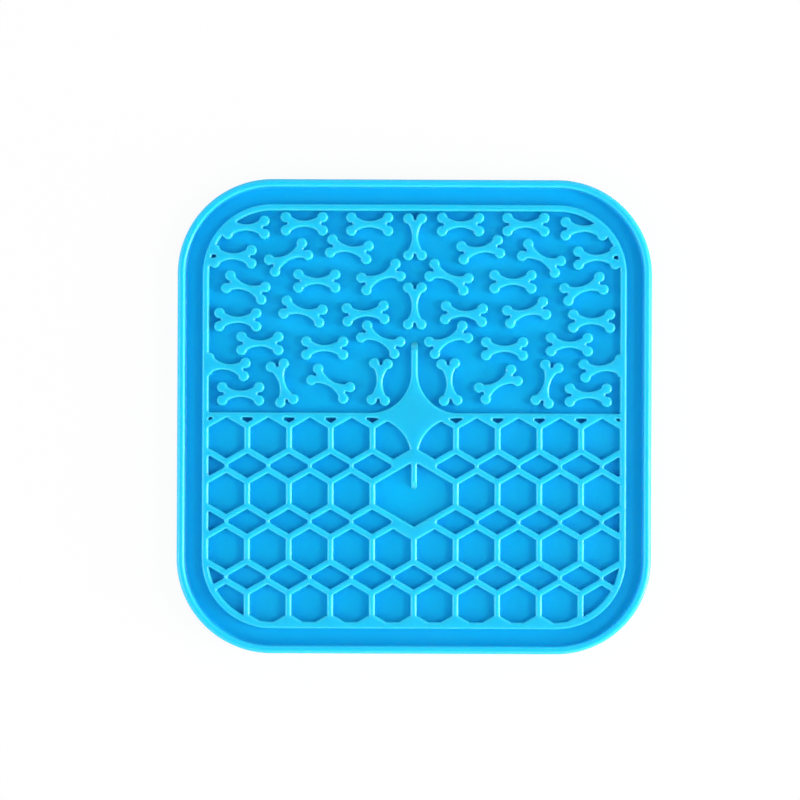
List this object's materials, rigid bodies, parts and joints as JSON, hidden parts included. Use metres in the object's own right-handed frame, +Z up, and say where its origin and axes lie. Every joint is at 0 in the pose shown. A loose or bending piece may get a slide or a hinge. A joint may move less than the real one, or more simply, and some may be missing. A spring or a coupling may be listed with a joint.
{
  "type": "lick mat",
  "caption": "Square silicone lick mat with a raised rim, a field of small bones, a honeycomb with one large cell, and suction cups underneath.",
  "frame": {"origin": "middle of the square footprint, on the plane that the suction cups' lips rest on", "axes": "+Z up out of the relief, +Y towards the half with the bones, +X to the right as the bones are seen from the honeycomb side"},
  "size_m": [0.2, 0.2, 0.01],
  "materials": {
    "silicone": "satin translucent cyan-blue silicone"
  },
  "bodies": {
    "root": {"base_sheet": "silicone", "outer_rim": "silicone", "inner_frame": "silicone", "divider_bar_left": "silicone", "divider_bar_right": "silicone", "centre_star": "silicone", "pool_fin": "silicone", "honeycomb_row_2_left": "silicone", "honeycomb_row_2_right": "silicone", "honeycomb_row_1": "silicone", "honeycomb_row_3": "silicone", "honeycomb_row_4": "silicone", "bone_01": "silicone", "bone_02": "silicone", "bone_03": "silicone", "bone_04": "silicone", "bone_05": "silicone", "bone_06": "silicone", "bone_07": "silicone", "bone_08": "silicone", "bone_09": "silicone", "bone_10": "silicone", "bone_11": "silicone", "bone_12": "silicone", "bone_13": "silicone", "bone_14": "silicone", "bone_15": "silicone", "bone_16": "silicone", "bone_17": "silicone", "bone_18": "silicone", "bone_19": "silicone", "bone_20": "silicone", "bone_21": "silicone", "bone_22": "silicone", "bone_23": "silicone", "bone_24": "silicone", "bone_25": "silicone", "bone_26": "silicone", "bone_27": "silicone", "bone_28": "silicone", "bone_29": "silicone", "bone_30": "silicone", "bone_31": "silicone", "bone_32": "silicone", "bone_33": "silicone", "bone_34": "silicone", "bone_35": "silicone", "bone_36": "silicone", "suction_cups": "silicone"}
  },
  "joints": []
}
